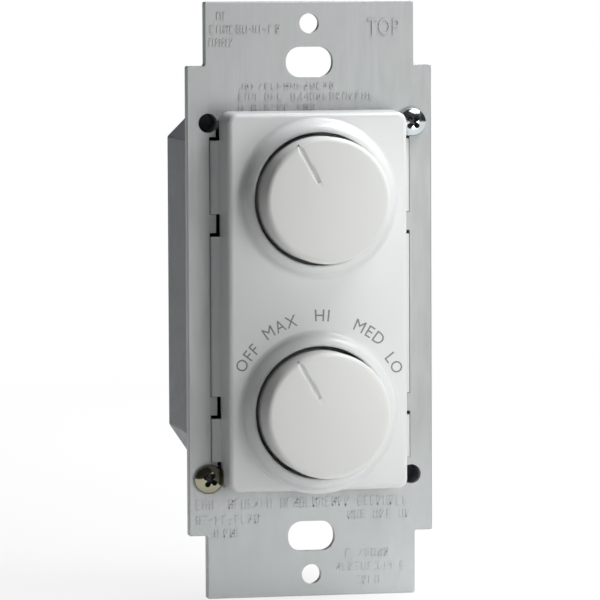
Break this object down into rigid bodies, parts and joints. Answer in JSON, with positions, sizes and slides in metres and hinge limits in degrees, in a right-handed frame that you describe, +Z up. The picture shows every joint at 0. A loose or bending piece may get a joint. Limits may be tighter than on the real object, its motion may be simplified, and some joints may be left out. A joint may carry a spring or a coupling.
{
  "type": "fan speed control switch",
  "caption": "Wall control for a designer opening: two round knobs in raised rings on a white face frame, wide metal mounting strap, grey back housing.",
  "frame": {"origin": "on the strap's back face, half-way between the two wall box screws", "axes": "+Z up, front faces -Y, +X to the right seen from the front"},
  "size_m": [0.0438, 0.0415, 0.1046],
  "materials": {
    "strap": "satin",
    "frame_plastic": "satin",
    "knob_plastic": "satin",
    "housing_plastic": "matte",
    "zinc_steel": "plated",
    "plated_brass": "satin",
    "case_plastic": "matte",
    "phenolic": "matte",
    "carbon": "matte",
    "spring_brass": "bright",
    "spring_steel": "bright",
    "tinned_wire": "tinned",
    "copper": "enamelled",
    "ferrite": "matte",
    "board_laminate": "satin",
    "film_yellow": "gloss",
    "film_grey": "gloss",
    "resistor_lacquer": "matte",
    "disc_lacquer": "gloss",
    "diode_glass": "gloss",
    "chip_epoxy": "matte",
    "heat_sheet": "matte"
  },
  "bodies": {
    "control": {"mounting_strap": "strap", "face_frame": "frame_plastic", "back_housing": "housing_plastic", "housing_screws": "zinc_steel", "dimmer_front": "plated_brass", "dimmer_washer": "zinc_steel", "dimmer_nut": "plated_brass", "dimmer_case": "case_plastic", "dimmer_track_disc": "phenolic", "dimmer_track": "carbon", "dimmer_collector": "spring_brass", "dimmer_pins": "tinned_wire", "push_contacts": "spring_brass", "push_spring": "spring_steel", "selector_front": "plated_brass", "selector_washer": "zinc_steel", "selector_nut": "plated_brass", "selector_case": "case_plastic", "selector_ball": "spring_steel", "selector_spring": "spring_steel", "selector_wafer": "phenolic", "selector_pads": "spring_brass", "selector_pins": "tinned_wire", "power_switch_insulator": "heat_sheet", "power_switch_tab": "copper", "power_switch_body": "chip_epoxy", "power_switch_leads": "tinned_wire", "power_switch_screw": "zinc_steel", "power_switch_nut": "zinc_steel", "circuit_board": "board_laminate", "filter_capacitor": "film_yellow", "speed_capacitor_large": "film_grey", "speed_capacitor_small": "film_grey", "choke_core": "ferrite", "choke_winding": "copper", "power_resistors": "resistor_lacquer", "trigger_diode": "diode_glass", "timing_capacitor": "disc_lacquer", "component_leads": "tinned_wire", "lead_eyelets": "spring_brass"},
    "light_push": {"push_plunger": "case_plastic", "push_bridge": "spring_brass"},
    "light_turn": {"light_knob": "knob_plastic", "dimmer_shaft": "plated_brass"},
    "dimmer_wheel_turn": {"dimmer_wheel": "phenolic", "dimmer_wiper": "spring_brass"},
    "fan_turn": {"fan_knob": "knob_plastic", "selector_shaft": "plated_brass", "selector_wheel": "phenolic", "selector_wiper": "spring_brass"}
  },
  "joints": [
    {"name": "light_push", "type": "slide", "parent": "control", "child": "light_push", "axis": [0, 1, 0], "range_m": [0, 0.0015], "stiffness_N_per_m": 500, "springref_m": -0.002, "deforming": ["push_spring"]},
    {"name": "light_turn", "type": "hinge", "parent": "light_push", "child": "light_turn", "pos_m": [0, 0, 0.0181], "axis": [0, 1, 0], "range_deg": [-106, 164]},
    {"name": "dimmer_wheel_turn", "type": "hinge", "parent": "control", "child": "dimmer_wheel_turn", "pos_m": [0, 0, 0.0181], "axis": [0, 1, 0], "range_deg": [-106, 164]},
    {"name": "fan_turn", "type": "hinge", "parent": "control", "child": "fan_turn", "pos_m": [0, 0, -0.0191], "axis": [0, 1, 0], "range_deg": [-30, 90]}
  ],
  "couplings": [
    {"joint": "dimmer_wheel_turn", "follows": "light_turn", "ratio": 1}
  ]
}
